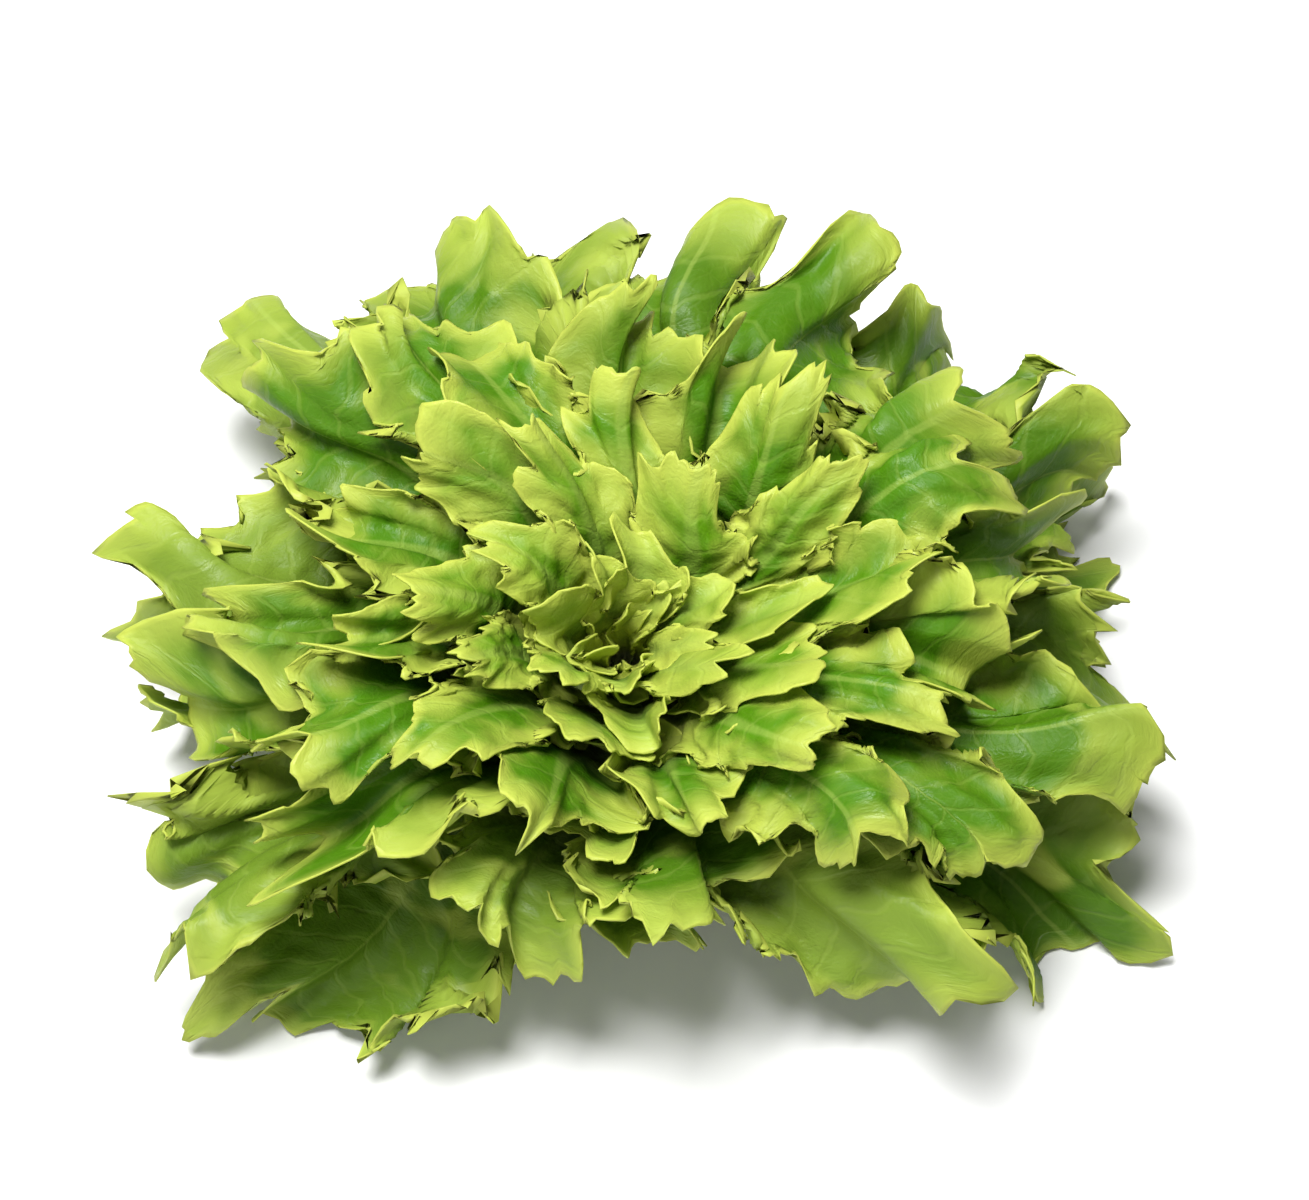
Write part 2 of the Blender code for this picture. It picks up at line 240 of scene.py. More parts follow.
def new_leaf(order, azimuth, length, half_width, seed, calm):
    """Draws one leaf's character; the order of the draws is part of the seed."""
    rng = random.Random(seed)
    leaf = SimpleNamespace(order=order, azimuth=azimuth)
    leaf.length = length * rng.uniform(1.0 - LENGTH_PLAY, 1.0 + LENGTH_PLAY)
    leaf.length *= 1.0 + order * further(azimuth)
    leaf.half_width = half_width * rng.uniform(1.0 - WIDTH_PLAY, 1.0 + WIDTH_PLAY)
    leaf.petiole = mix(*PETIOLE_HALVES, order)
    leaf.rib = mix(*RIB_THICKNESSES, order)
    leaf.sway = rng.uniform(-SWAY, SWAY)
    leaf.tilt = calm * rng.uniform(-TILT_SHARE, TILT_SHARE)
    leaf.cup = calm * rng.uniform(*CUP_SHARES)
    leaf.waves = mix(*WAVES, order) + rng.uniform(-WAVE_PLAY, WAVE_PLAY)
    leaf.phase = rng.uniform(0.0, 2.0 * math.pi)
    leaf.drift = rng.uniform(0.0, 2.0 * math.pi)
    leaf.fold = calm * rng.uniform(*FOLD_SHARES)
    leaf.teeth = [rng.uniform(0.45, 1.5) for _ in range(2 * SIDE_TOOTH_SIZES + 2)]
    leaf.fine_teeth = [rng.uniform(0.2, 1.5) for _ in range(2 * FINE_TOOTH_SIZES)]
    leaf.tint = rng.random()
    return leaf


print("the lowest leaf towards +X is longer by a share of", round(further(0.0), 2))

# %% [markdown]
# ## Along the rib
# A leaf is bent by walking up its rib in small steps, turning a little at each. Beside the
# rib's place the walk notes how much room there is down to the rib of a leaf a few places
# further out, because that is how deep a fold may hang.

# %% Walking up the rib
RIB_STEPS = 40
RIB_LENGTH = 1.25 * REACHES[1]
ROOM_STEPS = 5.0


def walk_rib(leaf):
    """Radius, height, slope and room below the rib at even steps from its root."""
    next_order = leaf.order + ROOM_STEPS * ORDER_STEP
    radius, height = root(leaf.order)
    next_radius, next_height = root(next_order)
    step = RIB_LENGTH / RIB_STEPS
    leaf.walk = []
    for index in range(RIB_STEPS + 1):
        slope = rib_slope(leaf.order, index * step)
        next_slope = rib_slope(next_order, index * step)
        room = math.hypot(next_radius - radius, next_height - height)
        leaf.walk.append((radius, height, slope, room))
        radius += step * math.cos(slope)
        height += step * math.sin(slope)
        next_radius += step * math.cos(next_slope)
        next_height += step * math.sin(next_slope)
    return leaf


def on_rib(leaf, along):
    """Radius, height, slope and room a distance along the rib."""
    place = min(max(along / RIB_LENGTH, 0.0), 0.999) * RIB_STEPS
    index = int(place)
    near = zip(leaf.walk[index], leaf.walk[index + 1])
    return [mix(before, after, place - index) for before, after in near]


print("a rib is walked in", RIB_STEPS, "steps over", round(1000 * RIB_LENGTH), "mm")

# %% [markdown]
# ## The outline
# Endive leaves are narrow stalks that widen into a broad blade with a blunt, lobed end. The
# outline is drawn flat: u runs across from -1 to 1 and v along from 0 at the root to 1.

# %% The flat blade
SIDE_TEETH = 4.0
TOOTH_DEPTH = 0.12
TIP_TOOTH_DEPTH = 0.025
TIP_ROUNDING = 0.22
TIP_SHARE = 0.92


def outline(leaf, u, v):
    """The flat blade: how far across and how far along the rib a point lies."""
    width = mix(leaf.petiole, leaf.half_width, ramp(0.05, 0.64, v))
    width *= 1.0 - (1.0 - TIP_SHARE) * ramp(0.62, 1.06, v) ** 1.3
    side = SIDE_TEETH * v + 0.5
    which = round(side) % SIDE_TOOTH_SIZES + (SIDE_TOOTH_SIZES if u > 0.0 else 0)
    cut = TOOTH_DEPTH * tooth(side) * leaf.teeth[which]
    cut *= ramp(0.20, 0.45, v) * (1.0 - ramp(0.85, 1.0, v))
    across = u * width * (1.0 + cut * abs(u) ** 3)
    along = v * (1.0 - TIP_ROUNDING * u * u * v * v)
    end = tooth(1.5 * u + 0.5) * leaf.teeth[2 * SIDE_TOOTH_SIZES + (u > 0.0)]
    along += TIP_TOOTH_DEPTH * end * v**8
    return across, along * leaf.length


print("big teeth down each side of a leaf:", round(SIDE_TEETH))

# %% [markdown]
# ## Small teeth and ruffles
# Between the big lobes the margin carries small, sharp teeth with round hollows, and it
# ruffles because it has grown longer than the middle of the blade. Both are counted along the
# margin, so every point first needs to know how near the margin it lies, and how far round.
# The ends of old leaves flare up a little as well.

# %% Round the margin
MARGIN_CENTRE = 0.30
RUFFLES = (
    # length round the margin on the youngest and oldest leaf, height as a share, drift
    (0.026, 0.038, 0.15, 1.0),
    (0.013, 0.018, 0.07, 2.3),
)
RUFFLE_GATHER = 0.45
YOUNG_CALM = 0.45
FLARE = 0.050


def margin(leaf, u, v):
    """How near the margin a point lies, 0 to 1, and how far round it from the tip."""
    ahead = (v - MARGIN_CENTRE) / (1.0 - MARGIN_CENTRE)
    if ahead > abs(u):
        return ahead, u / ahead * leaf.half_width
    near = max(abs(u), 0.05)
    down = (1.0 - MARGIN_CENTRE) * (1.0 - ahead / near) * leaf.length
    return abs(u), math.copysign(leaf.half_width + down, u)


def ruffle(leaf, u, v):
    """How high a point is lifted, and how far it is drawn along the margin."""
    near, way = margin(leaf, u, v)
    calm = mix(YOUNG_CALM, 1.0, ramp(0.1, 0.7, leaf.order))
    flare = FLARE * (0.4 + leaf.tint) * leaf.length * ramp(0.4, 0.9, leaf.order)
    lift, drawn = flare * ramp(0.74, 1.04, v), 0.0
    for youngest, oldest, share, drift in RUFFLES:
        length = mix(youngest, oldest, leaf.order)
        turn = 2.0 * math.pi * way / length + leaf.phase * drift
        turn += 1.2 * math.sin(1.7 * way / length + leaf.drift * drift)
        uneven = 1.0 + 0.5 * math.sin(1.1 * way / length + 2.0 * leaf.drift * drift)
        size = length * share * uneven * near**2.2 * ramp(0.30, 0.60, v) * calm
        lift += size * math.sin(turn)
        drawn -= RUFFLE_GATHER * size * math.sin(2.0 * turn)
    return lift, drawn


print("ruffles of the oldest leaves, mm long:", [round(1000 * row[1]) for row in RUFFLES])

# %% [markdown]
# ## A margin cut three times
# A real margin is cut at several sizes at once: lobes, teeth on the lobes, and small teeth
# between those. Each size is one row of numbers, and every point near the margin is pushed
# outwards from the middle of the blade by the sum of the three.

# %% Lobes and small teeth
CUTS = (
    # length round the margin, depth, how closely it keeps to the margin
    (0.024, 0.0064, 4),
    (0.0095, 0.0042, 7),
    (0.0052, 0.0018, 12),
)
CUT_WANDER = 0.40
FULL_CUT_WIDTH = 0.035


def fine_cuts(leaf, u, v):
    """How far lobes and small teeth push a point outwards from the middle of the blade."""
    grown = min(1.15, leaf.half_width / FULL_CUT_WIDTH)
    near, way = margin(leaf, u, v)
    out = 0.0
    for length, depth, start in CUTS:
        at = way / length + CUT_WANDER * math.sin(0.7 * way / length + leaf.phase)
        size = leaf.fine_teeth[round(at) % (2 * FINE_TOOTH_SIZES)]
        out += depth * size * tooth(at) * near**start
    return grown * out * ramp(0.15, 0.40, v)


print("lobes and teeth, mm long:", [round(1000 * row[0], 1) for row in CUTS])

# %% [markdown]
# ## Veins and blisters
# Side veins leave the midrib at a slant and hold the blade back, so that it puffs up between
# them. The midrib itself is a shallow channel on the upper face.

# %% Relief of the blade
VEIN_SPACING = 0.0125
VEIN_SLANT = 0.75
BLISTER = 0.0011
CHANNEL = 0.0013
CHANNEL_HALF = 0.0030


def relief(leaf, across, along, v):
    """Height of the blade's own relief: puffed between veins, sunk along the midrib."""
    vein = (along - VEIN_SLANT * abs(across)) / VEIN_SPACING + 3.0 * leaf.tint
    vein += 0.35 * noise.noise(Vector((90.0 * across, 90.0 * along, leaf.drift)))
    puffed = BLISTER * (abs(math.sin(math.pi * vein)) - 0.5) * min(1.0, abs(across) / 0.006)
    lumps = BLISTER * noise.noise(Vector((170.0 * across, 170.0 * along, leaf.phase)))
    channel = -CHANNEL * math.exp(-((across / CHANNEL_HALF) ** 2)) * (1.0 - 0.7 * v)
    return (puffed + lumps) * ramp(0.2, 0.5, v) + channel


print("side veins stand", round(1000 * VEIN_SPACING, 1), "mm apart")

# %% [markdown]
# ## Folding a leaf into place
# The flat blade is waved round a centre on its rib, the more the nearer the margin, then laid
# along the bent rib, wrapped round the head and settled with it. The plain solids stop there.
# With fine set, the small teeth, ruffles and relief come on top.

# %% A point of a leaf
WAVE_DRIFT = 0.7
WAVE_CENTRE = 0.28
GATHER = 0.15
FINE_GATHER = 0.40
FINE_FOLD = 1.25
STEEPEST = 1.2
CURL_EASE = 0.003


def place(leaf, u, v, fine=False):
    """A point of the leaf's upper face, in the settled head."""
    across, along = outline(leaf, u, v)
    room = on_rib(leaf, along)[3]
    edge = u * u + v**5 - u * u * v**5
    high = leaf.fold * room * edge * ramp(0.20, 0.60, v)
    beyond = along - WAVE_CENTRE * leaf.length
    steepest = STEEPEST * (math.hypot(across, beyond) + CURL_EASE) / leaf.waves
    high *= steepest / math.hypot(high, steepest)
    high *= FINE_FOLD if fine else 1.0
    turn = math.atan2(across, beyond)
    wave = leaf.waves * turn + leaf.phase
    wave += WAVE_DRIFT * math.sin(2.0 * turn + leaf.drift)
    gather = -(FINE_GATHER if fine else GATHER) * high * math.sin(2.0 * wave)
    above = high * math.sin(wave)
    above += room * (leaf.cup * u * u + leaf.tilt * u) * ramp(0.0, 0.5, v)
    if fine:
        lift, drawn = ruffle(leaf, u, v)
        above += lift + relief(leaf, across, along, v)
        gather += drawn
        out = fine_cuts(leaf, u, v)
        across += out * math.sin(turn)
        along += out * math.cos(turn)
    across += gather * math.cos(turn)
    along -= gather * math.sin(turn)
    radius, height, slope, room = on_rib(leaf, along)
    around = leaf.azimuth + across / (radius + CURL_EASE) + leaf.sway * v * v
    radius -= above * math.sin(slope)
    height += above * math.cos(slope)
    return settle(radius * math.cos(around), radius * math.sin(around), height)


print("folds stand higher than in the solids by a factor of", FINE_FOLD)

# %% [markdown]
# ## Which draw did the solid keep?
# When the solids were made, a leaf that crossed a neighbour was drawn again, calmer, until it
# lay clear. The solid in the frame shows which draw was kept: its corners are where only that
# draw puts them.

# %% The leaves of the spiral
LENGTHS = (0.090, 0.130, 0.154)
HALF_WIDTHS = (0.018, 0.032, 0.047)
LEAF_SEED = 7700
DRAWS = 60
CALMEST = 0.1
NARROWEST = 0.75
LOWEST_STEPS = 3.0


def single_leaf(index, draw):
    """One draw of a leaf; later draws are calmer, narrower and lower."""
    share = index / (LEAF_COUNT - 1)
    late = draw / (DRAWS - 1)
    order = mix(FIRST_ORDER, 1.0, share**ORDER_CROWDING)
    seed = LEAF_SEED + index * DRAWS + draw
    play = random.Random(-seed).uniform(-AZIMUTH_PLAY, AZIMUTH_PLAY)
    return walk_rib(new_leaf(
        order + LOWEST_STEPS * ORDER_STEP * late,
        FIRST_AZIMUTH + index * GOLDEN_ANGLE + play,
        through(LENGTHS, share),
        through(HALF_WIDTHS, share) * mix(1.0, NARROWEST, late),
        seed,
        mix(1.0, CALMEST, late),
    ))


def leaf_name(index):
    if index < INNER_LEAVES:
        return f"inner_leaf_{index + 1:02d}"
    index -= INNER_LEAVES
    if index < MIDDLE_LEAVES:
        return f"middle_leaf_{index + 1:02d}"
    return f"outer_leaf_{index - MIDDLE_LEAVES + 1:02d}"


print("leaves run from", leaf_name(0), "to", leaf_name(LEAF_COUNT - 1))

# %% [markdown]
# ## Matching by three points
# Three points of a leaf are enough to tell its draws apart: the end of its rib and a point on
# each side. A search tree over the corners of the solid finds the nearest one quickly.

# %% Comparing a draw with its solid
SAME_PLACE = 0.00005
COMPARED = ((0.0, 1.0), (1.0, 0.5), (-1.0, 0.75))


def kept_leaf(index):
    """The draw whose corners lie on the corners of the solid in the frame."""
    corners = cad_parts[leaf_name(index)].data.vertices
    tree = KDTree(len(corners))
    for number, corner in enumerate(corners):
        tree.insert(corner.co, number)
    tree.balance()
    for draw in range(DRAWS):
        leaf = single_leaf(index, draw)
        if all(tree.find(place(leaf, u, v))[2] < SAME_PLACE for u, v in COMPARED):
            return leaf
    raise ValueError(f"no draw fits the solid of {leaf_name(index)}")


leaves = [kept_leaf(index) for index in range(LEAF_COUNT)]
print("leaves matched with their solids:", len(leaves))

# %% [markdown]
# ## From curves to a mesh
# A leaf starts as one flat grid. Each of its corners is moved to its place, then the sheet is
# doubled and its lower copy pushed away along the normals, thick under the midrib and thin at
# the margin. Five numbers are kept at every corner for the colours: the distance across and
# along the blade, how near the margin it lies, the age of the leaf and its tint.

# %% Making a leaf's mesh
BLADE_THICKNESS = 0.0006
MARKS = ("across", "along", "inset", "age", "tint")


def leaf_thickness(leaf, u, v):
    """Thick along the rib near the root, and thin at the margin."""
    return mix(leaf.rib, BLADE_THICKNESS, max(abs(u) ** 0.7, ramp(0.15, 0.95, v)))


def inset(leaf, u, v):
    """How far inside the margin a point lies, in metres."""
    across, along = outline(leaf, u, v)
    from_side = abs(outline(leaf, 1.0, v)[0]) - abs(across)
    from_end = outline(leaf, u, 1.0)[1] - along
    return max(0.0, min(from_side, from_end))


def add_leaf_faces(bm, leaf, cells):
    """Adds one leaf to the mesh: a placed grid, closed with a lower face and a rim."""
    marks = [bm.verts.layers.float[name] for name in MARKS]
    sheet = bmesh.ops.create_grid(bm, x_segments=cells[0], y_segments=cells[1], size=1.0)["verts"]
    thicknesses = {}
    for vert in sheet:
        u, v = vert.co.x, (vert.co.y + 1.0) / 2.0
        thicknesses[vert] = leaf_thickness(leaf, u, v)
        across, along = outline(leaf, u, v)
        values = (across, along, inset(leaf, u, v), leaf.order, leaf.tint)
        for mark, value in zip(marks, values):
            vert[mark] = value
        vert.co = place(leaf, u, v, fine=True)
    bm.normal_update()
    downs = {vert: vert.normal * thickness for vert, thickness in thicknesses.items()}
    faces = list({face for vert in sheet for face in vert.link_faces})
    bmesh.ops.extrude_face_region(bm, geom=faces, use_keep_orig=True)
    for vert, down in downs.items():
        vert.co += down


def start_mesh():
    bm = bmesh.new()
    for name in MARKS:
        bm.verts.layers.float.new(name)
    return bm


def add_piece(name, bm, finish):
    """Turns the mesh into a smooth piece that rides on the head's one body."""
    bmesh.ops.recalc_face_normals(bm, faces=bm.faces[:])
    mesh = bpy.data.meshes.new(name)
    bm.to_mesh(mesh)
    bm.free()
    mesh.materials.append(finish)
    mesh.shade_smooth()
    piece = bpy.data.objects.new(name, mesh)
    bpy.context.scene.collection.objects.link(piece)
    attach(piece, "root")
    return piece


print("numbers kept at each corner:", ", ".join(MARKS))

# %% [markdown]
# ## The finish of a leaf
# The colour follows the plant: white where the stalk was kept from the light, green in the
# blade, yellow-green towards the margin, darker and duller with age. Light also shines through
# a leaf, so part of the finish is translucent. First come a few short helpers for nodes.

# %% Helpers for nodes
def set_inputs(tree, node, values):
    """Gives a node's inputs a number or colour, or links them to another node's output."""
    for key, value in values.items():
        if isinstance(value, bpy.types.NodeSocket):
            tree.links.new(value, node.inputs[key])
        else:
            node.inputs[key].default_value = value
    return node


def maths(tree, operation, *values):
    node = tree.nodes.new("ShaderNodeMath")
    node.operation = operation
    return set_inputs(tree, node, dict(enumerate(values))).outputs[0]


def between(tree, value, start, end, low=0.0, high=1.0):
    """Low below start and high above end, smooth between them."""
    node = tree.nodes.new("ShaderNodeMapRange")
    node.interpolation_type = "SMOOTHSTEP"
    values = {"Value": value, "From Min": start, "From Max": end, "To Min": low, "To Max": high}
    return set_inputs(tree, node, values).outputs[0]


def blended(tree, share, first, second):
    """A colour between two others."""
    node = tree.nodes.new("ShaderNodeMix")
    node.data_type = "RGBA"
    return set_inputs(tree, node, {0: share, 6: first, 7: second}).outputs[2]


def mark(tree, name):
    """A number that was kept at each corner of the mesh."""
    node = tree.nodes.new("ShaderNodeAttribute")
    node.attribute_name = name
    return node.outputs["Fac"]


def noise_on(tree, vector, scale, detail=2.0):
    node = tree.nodes.new("ShaderNodeTexNoise")
    values = {"Vector": vector, "Scale": scale, "Detail": detail}
    return set_inputs(tree, node, values).outputs[0]


print("a set of input makes a link when its value is a socket, and a number otherwise")

# %% [markdown]
# ## Greens of a leaf
# A leaf is yellow-green where it is young. Towards its base it is darkened to a deep green:
# painted shade, where the leaves lie in each other's shadow. A broad pale band follows the
# margin, because the blade is thinnest there, and a thin bright rim along the very edge is a
# painted highlight. Old leaves fade in patches, some of them all over.

# %% Colours of a leaf
INNER_GREEN = (0.130, 0.320, 0.004, 1.0)
MIDDLE_GREEN = (0.080, 0.235, 0.004, 1.0)
OUTER_GREEN = (0.085, 0.205, 0.005, 1.0)
MARGIN_GREEN = (0.60, 0.67, 0.105, 1.0)
OLD_MARGIN_GREEN = (0.43, 0.54, 0.075, 1.0)
FADED_GREEN = (0.48, 0.58, 0.09, 1.0)
RIB_WHITE = (0.50, 0.64, 0.13, 1.0)
# The deep green below is painted shade, laid on the base of each leaf.
PAINTED_SHADE_GREEN = (0.014, 0.070, 0.002, 1.0)
STALK_WHITE = (0.82, 0.84, 0.58, 1.0)
PALE_BANDS = (0.042, 0.040)
# The rim width here and its share below make a painted highlight along the very edge of the
# margin.
RIM_HIGHLIGHT_WIDTH = 0.0026
STALK_ENDS = (0.020, 0.075)
# How far up each leaf the painted shade reaches, and how dark it gets at most.
PAINTED_SHADE_ENDS = (0.080, 0.125)
DARKEST_PAINTED_SHADE = 0.90
PALEST = 0.38
BAND_SHARE = 0.85
RIM_HIGHLIGHT_SHARE = 0.70
FADED_SHARE = 0.75
VEIN_SHARE = 0.12
RIB_SHARE = 0.28


def leaf_colour(tree, marks, spot, vein):
    """The colour over a leaf, from the marks at its corners."""
    across = maths(tree, "ABSOLUTE", marks["across"])
    young = blended(tree, between(tree, marks["age"], 0.12, 0.55), INNER_GREEN, MIDDLE_GREEN)
    green = blended(tree, between(tree, marks["age"], 0.55, 0.95), young, OUTER_GREEN)
    # Painted shade: the green darkens towards the base of the leaf, where the leaves shade each
    # other.
    painted_shade_end = between(tree, marks["age"], 0.1, 0.9, *PAINTED_SHADE_ENDS)
    painted_shade = between(tree, marks["along"], 0.03, painted_shade_end, DARKEST_PAINTED_SHADE, 0.0)
    old = between(tree, marks["age"], 0.6, 0.9)
    pale = maths(tree, "MULTIPLY", between(tree, marks["tint"], 0.15, 0.60, PALEST, 0.0), old)
    green = blended(tree, pale, green, FADED_GREEN)
    green = blended(tree, painted_shade, green, PAINTED_SHADE_GREEN)
    edge = blended(tree, between(tree, marks["age"], 0.5, 1.0), MARGIN_GREEN, OLD_MARGIN_GREEN)
    patches = noise_on(tree, spot, 55.0, 3.0)
    band = between(tree, marks["age"], 0.1, 0.8, *PALE_BANDS)
    inner = maths(tree, "MULTIPLY", patches, band)
    green = blended(tree, between(tree, marks["inset"], 0.0, inner, BAND_SHARE, 0.0), green, edge)
    # Painted highlight: a thin bright rim along the very edge of the margin.
    rim = between(tree, marks["inset"], 0.0004, RIM_HIGHLIGHT_WIDTH, RIM_HIGHLIGHT_SHARE, 0.0)
    green = blended(tree, rim, green, MARGIN_GREEN)
    faded = maths(tree, "MULTIPLY", between(tree, noise_on(tree, spot, 38.0), 0.56, 0.68), old)
    green = blended(tree, maths(tree, "MULTIPLY", faded, FADED_SHARE), green, FADED_GREEN)
    half = between(tree, marks["along"], 0.02, 0.12, 0.0046, 0.0005)
    rib = between(tree, maths(tree, "DIVIDE", across, half), 0.5, 1.5, 1.0, 0.0)
    green = blended(tree, maths(tree, "MULTIPLY", vein, VEIN_SHARE), green, RIB_WHITE)
    green = blended(tree, maths(tree, "MULTIPLY", rib, RIB_SHARE), green, RIB_WHITE)
    stalk_end = between(tree, marks["age"], 0.1, 0.5, *STALK_ENDS)
    stalk = between(tree, marks["along"], 0.010, stalk_end, 1.0, 0.0)
    return blended(tree, stalk, green, STALK_WHITE)


print("greens from the heart to the foot:", INNER_GREEN[:3], MIDDLE_GREEN[:3], OUTER_GREEN[:3])


# %% [markdown]
# ## Veins
# The side veins slant away from the midrib as lines at an even spacing, bent a little by noise.
# Between them runs a fine net, for which the borders of a cell pattern are a good likeness.

# %% Veins of a leaf
NET_SCALE = 260.0


def veins(tree, marks, spot):
    """1 on the slanting side veins and on the fine net between them."""
    across = maths(tree, "ABSOLUTE", marks["across"])
    slant = maths(tree, "MULTIPLY_ADD", across, -VEIN_SLANT, marks["along"])
    wander = maths(tree, "MULTIPLY", noise_on(tree, spot, 90.0), 0.7)
    turn = maths(tree, "MULTIPLY_ADD", slant, 1.0 / VEIN_SPACING, wander)
    turn = maths(tree, "MULTIPLY_ADD", marks["tint"], 3.0, turn)
    from_vein = maths(tree, "PINGPONG", turn, 0.5)
    side = between(tree, from_vein, 0.02, 0.10, 1.0, 0.0)
    cells = tree.nodes.new("ShaderNodeTexVoronoi")
    cells.feature = "DISTANCE_TO_EDGE"
    set_inputs(tree, cells, {"Vector": spot, "Scale": NET_SCALE})
    net = between(tree, cells.outputs["Distance"], 0.01, 0.10, 0.25, 0.0)
    return maths(tree, "MAXIMUM", side, net)


print("cells of the vein net per metre:", NET_SCALE)

# %% [markdown]
# ## Skin and light
# The skin is satin, with its grain and sunken veins as fine bumps. A share of the finish lets
# light through in a warmer green, which is what makes a leaf against the light glow.

# %% The leaf finish itself
ROUGHNESS = (0.36, 0.58)
LIGHT_THROUGH = 0.22
THROUGH_TINT = (0.36, 0.62, 0.05, 1.0)
SKIN_BUMP = 0.0004
BUMP_STRENGTH = 0.6
VEIN_DEPTH = 0.6
SPECULAR = 0.25
TINTED_SHARE = 0.45


def leaf_finish(name):
    made = bpy.data.materials.new(name)
    made.use_nodes = True
    tree = made.node_tree
    shader = tree.nodes["Principled BSDF"]
    marks = {key: mark(tree, key) for key in MARKS}
    spot = tree.nodes.new("ShaderNodeCombineXYZ")
    turned = maths(tree, "MULTIPLY", marks["tint"], 7.0)
    spot = set_inputs(tree, spot, {0: marks["across"], 1: marks["along"], 2: turned}).outputs[0]
    vein = veins(tree, marks, spot)
    colour = leaf_colour(tree, marks, spot, vein)
    grain = noise_on(tree, spot, 900.0)
    height = maths(tree, "MULTIPLY_ADD", vein, -VEIN_DEPTH, grain)
    bump = set_inputs(tree, tree.nodes.new("ShaderNodeBump"), {"Height": height})
    set_inputs(tree, bump, {"Strength": BUMP_STRENGTH, "Distance": SKIN_BUMP})
    rough = between(tree, noise_on(tree, spot, 140.0), 0.3, 0.7, *ROUGHNESS)
    set_inputs(tree, shader, {"Base Color": colour, "Roughness": rough})
    set_inputs(tree, shader, {"Normal": bump.outputs[0]})
    shader.inputs["Specular IOR Level"].default_value = SPECULAR
    through_leaf = tree.nodes.new("ShaderNodeBsdfTranslucent")
    tinted = blended(tree, TINTED_SHARE, colour, THROUGH_TINT)
    set_inputs(tree, through_leaf, {"Color": tinted, "Normal": bump.outputs[0]})
    both = tree.nodes.new("ShaderNodeMixShader")
    both.inputs[0].default_value = LIGHT_THROUGH
    tree.links.new(shader.outputs[0], both.inputs[1])
    tree.links.new(through_leaf.outputs[0], both.inputs[2])
    tree.links.new(both.outputs[0], tree.nodes["Material Output"].inputs["Surface"])
    return made


leaf_skin = leaf_finish("leaf_skin")
print("nodes in the leaf finish:", len(leaf_skin.node_tree.nodes))

# %% [markdown]
# ## The 56 leaves
# One loop makes them all. Each replaces the solid of the same name in the look of the head.

# %% Inner, middle and outer leaves
LEAF_CELLS = (48, 72)

for index, leaf in enumerate(leaves):
    bm = start_mesh()
    add_leaf_faces(bm, leaf, LEAF_CELLS)
    name = leaf_name(index)
    piece = add_piece(f"{name}_fine", bm, leaf_skin)
    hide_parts(name)
print("faces in a leaf:", len(piece.data.polygons))

# %% [markdown]
# ## The heart
# The youngest leaves crowd on the growing point, still curled into each other. In the solid
# they are fused on a small core. Here they are the same ten.

# %% Young leaves round the growing point
HEART_LEAVES = 10
HEART_SEED = 9300
HEART_CALM = 0.6
HEART_LENGTHS = (0.060, 0.076, 0.084)
HEART_HALF_WIDTHS = (0.010, 0.016, 0.020)
HEART_CELLS = (28, 40)


def heart_leaf(index):
    share = index / (HEART_LEAVES - 1)
    return walk_rib(new_leaf(
        FIRST_ORDER * (index + 0.5) / HEART_LEAVES,
        FIRST_AZIMUTH - (HEART_LEAVES - index) * GOLDEN_ANGLE,
        through(HEART_LENGTHS, share),
        through(HEART_HALF_WIDTHS, share),
        HEART_SEED + index,
        HEART_CALM,
    ))


bm = start_mesh()
for number in range(HEART_LEAVES):
    add_leaf_faces(bm, heart_leaf(number), HEART_CELLS)
heart = add_piece("heart_fine", bm, leaf_skin)
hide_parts("heart")
print("faces in the heart:", len(heart.data.polygons))

# %% [markdown]
# ## The crown
# Under the leaves sits the stub of the stem. Its cut face dries to a warm cream with darker
# rings. It is turned from a profile like a piece on a lathe, then leant with the head.

# %% Turning the crown
CUT_RADIUS = 0.021
CUT_EASE = 0.0010
CROWN_RINGS = 12
CROWN_STEPS = 72

flat_order = 1.0 - (CROWN_TOP_HEIGHT - CROWN_WAIST_HEIGHT) / CROWN_DOME_HEIGHT
profile = [(0.0, 0.0), (CUT_RADIUS - CUT_EASE, 0.0), (CUT_RADIUS, CUT_EASE)]
for ring in range(CROWN_RINGS + 1):
    rise = math.asin(1.0 - mix(1.0, flat_order, ring / CROWN_RINGS))
    height = CROWN_WAIST_HEIGHT + CROWN_DOME_HEIGHT * math.sin(rise)
    profile.append((CROWN_RADIUS * math.cos(rise), height))
profile.append((0.0, profile[-1][1]))
bm = bmesh.new()
corners = [bm.verts.new((radius, 0.0, height)) for radius, height in profile]
line = [bm.edges.new(pair) for pair in zip(corners, corners[1:])]
bmesh.ops.spin(bm, geom=corners + line, cent=(0, 0, 0), axis=(0, 0, 1), angle=2.0 * math.pi,
               steps=CROWN_STEPS, use_merge=True)
bmesh.ops.remove_doubles(bm, verts=bm.verts[:], dist=0.00001)
for vert in bm.verts:
    vert.co = lean_over(*vert.co)
print("corners of the crown:", len(bm.verts))

# %% [markdown]
# ## The cut
# A cut stem shows faint rings and browns in spots as it dries. Above the cut the stub is pale
# green, so the colour turns with height.

# %% The cut stem's finish
CUT_CREAM = (0.72, 0.66, 0.42, 1.0)
CUT_BROWN = (0.36, 0.24, 0.10, 1.0)
STEM_GREEN = (0.42, 0.56, 0.16, 1.0)
RING_SCALE = 70.0

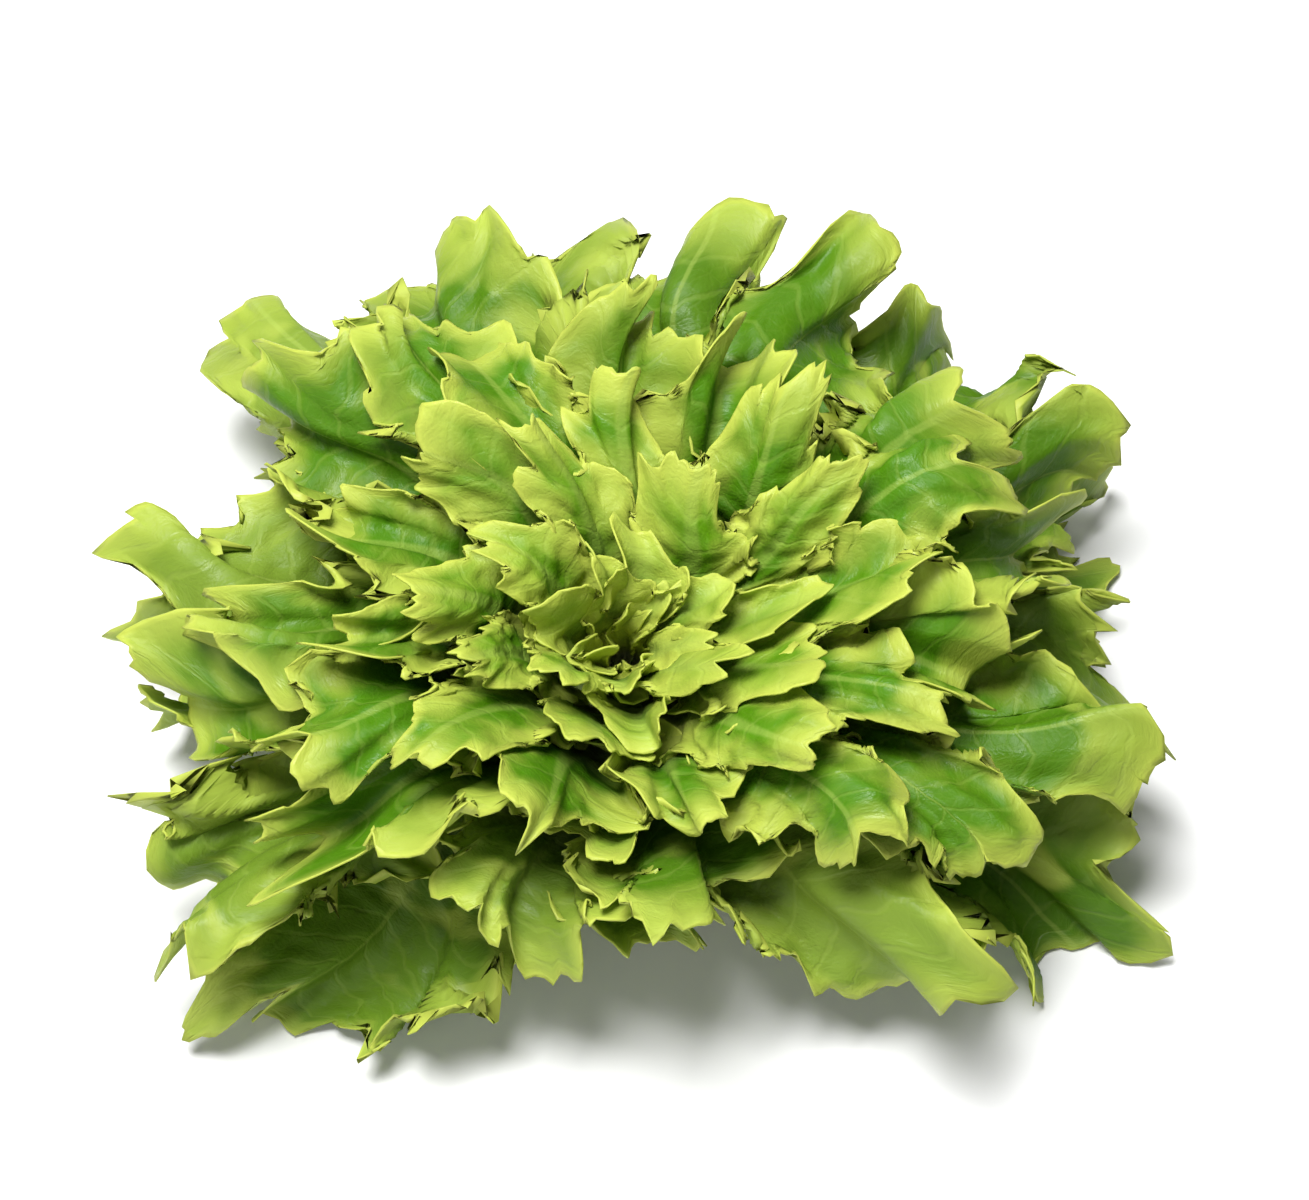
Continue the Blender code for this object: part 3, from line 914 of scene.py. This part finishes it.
crown_skin = bpy.data.materials.new("crown_skin")
crown_skin.use_nodes = True
tree = crown_skin.node_tree
where = tree.nodes.new("ShaderNodeTexCoord").outputs["Object"]
rings = tree.nodes.new("ShaderNodeTexWave")
rings.wave_type = "RINGS"
rings.rings_direction = "Z"
set_inputs(tree, rings, {"Vector": where, "Scale": RING_SCALE, "Distortion": 2.5, "Detail": 3.0})
spots = between(tree, noise_on(tree, where, 260.0, 4.0), 0.45, 0.75, 0.0, 0.8)
dark = maths(tree, "MULTIPLY_ADD", rings.outputs["Fac"], 0.25, spots)
colour = blended(tree, dark, CUT_CREAM, CUT_BROWN)
up = tree.nodes.new("ShaderNodeSeparateXYZ")
tree.links.new(where, up.inputs[0])
colour = blended(tree, between(tree, up.outputs["Z"], 0.002, 0.009), colour, STEM_GREEN)
bump = set_inputs(tree, tree.nodes.new("ShaderNodeBump"), {"Height": dark, "Distance": 0.0004})
shader = tree.nodes["Principled BSDF"]
set_inputs(tree, shader, {"Base Color": colour, "Roughness": 0.6, "Normal": bump.outputs[0]})
crown = add_piece("crown_fine", bm, crown_skin)
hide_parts("crown")
print("faces in the crown:", len(crown.data.polygons))

# %% [markdown]
# ## Floor
# The head stands on a plain pale surface, as in a studio, so that nothing draws the eye away
# from the leaves.

# %% Floor
FLOOR_HALF = 3.0
FLOOR_GREY = (0.93, 0.93, 0.93, 1.0)

bm = bmesh.new()
bmesh.ops.create_grid(bm, x_segments=1, y_segments=1, size=FLOOR_HALF)
mesh = bpy.data.meshes.new("floor")
bm.to_mesh(mesh)
bm.free()
floor = bpy.data.objects.new("floor", mesh)
bpy.context.scene.collection.objects.link(floor)
pale = bpy.data.materials.new("floor_pale")
pale.use_nodes = True
pale.node_tree.nodes["Principled BSDF"].inputs["Base Color"].default_value = FLOOR_GREY
pale.node_tree.nodes["Principled BSDF"].inputs["Roughness"].default_value = 0.9
mesh.materials.append(pale)
floor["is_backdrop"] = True
print("metres across the floor:", 2.0 * FLOOR_HALF)

# %% [markdown]
# ## Lights
# A large lamp almost overhead does most of the work and leaves the gaps between the leaves
# dark. Two weak ones soften the shadows in front and behind, and an even pale sky fills in.

# %% Lights
WORLD_LIGHT = 0.13


def add_light(name, place, size, power):
    """A square soft box that points at the head."""
    data = bpy.data.lights.new(name, "AREA")
    data.size = size
    data.energy = power
    made = bpy.data.objects.new(name, data)
    made.location = place
    made.rotation_euler = (-Vector(place)).to_track_quat("-Z", "Y").to_euler()
    bpy.context.scene.collection.objects.link(made)


add_light("key", (-0.22, 0.10, 1.35), 0.55, 28.5)
add_light("fill", (-0.6, -1.1, 0.5), 1.2, 5.0)
add_light("back", (0.1, 1.1, 0.9), 1.0, 3.0)
world = bpy.data.worlds.new("studio")
bpy.context.scene.world = world
world.use_nodes = True
world.node_tree.nodes["Background"].inputs[0].default_value = (1.0, 1.0, 1.0, 1.0)
world.node_tree.nodes["Background"].inputs[1].default_value = WORLD_LIGHT
bpy.context.scene.view_settings.view_transform = "Standard"
print("lamps:", [lamp.name for lamp in bpy.data.lights])

# %% [markdown]
# ## Camera
# The camera looks down on the head from the front with a long lens, which keeps the near
# leaves from looking too large.

# %% Camera
LENS = 85.0
LOOK_DOWN = math.radians(62.0)
DISTANCE = 0.976
LOOKED_AT = Vector((0.014, 0.006, 0.0625))

data = bpy.data.cameras.new("camera")
data.lens = LENS
camera = bpy.data.objects.new("camera", data)
camera.location = LOOKED_AT + DISTANCE * Vector((0.0, -math.cos(LOOK_DOWN), math.sin(LOOK_DOWN)))
camera.rotation_euler = (LOOKED_AT - camera.location).to_track_quat("-Z", "Y").to_euler()
bpy.context.scene.collection.objects.link(camera)
bpy.context.scene.camera = camera
print("the camera looks down by", round(math.degrees(LOOK_DOWN)), "degrees")

# %% [markdown]
# ## Measuring the size
# The fine head must stay about as large as its solids, so both boxes are measured and printed.

# %% Sizes and the end
fine_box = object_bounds()
boxes = {
    "solid": [list(corner) for corner in solid_box],
    "visual": [list(corner) for corner in fine_box],
}
for key, corners in boxes.items():
    print(key, "from, to in mm:", [[round(1000 * x) for x in corner] for corner in corners])
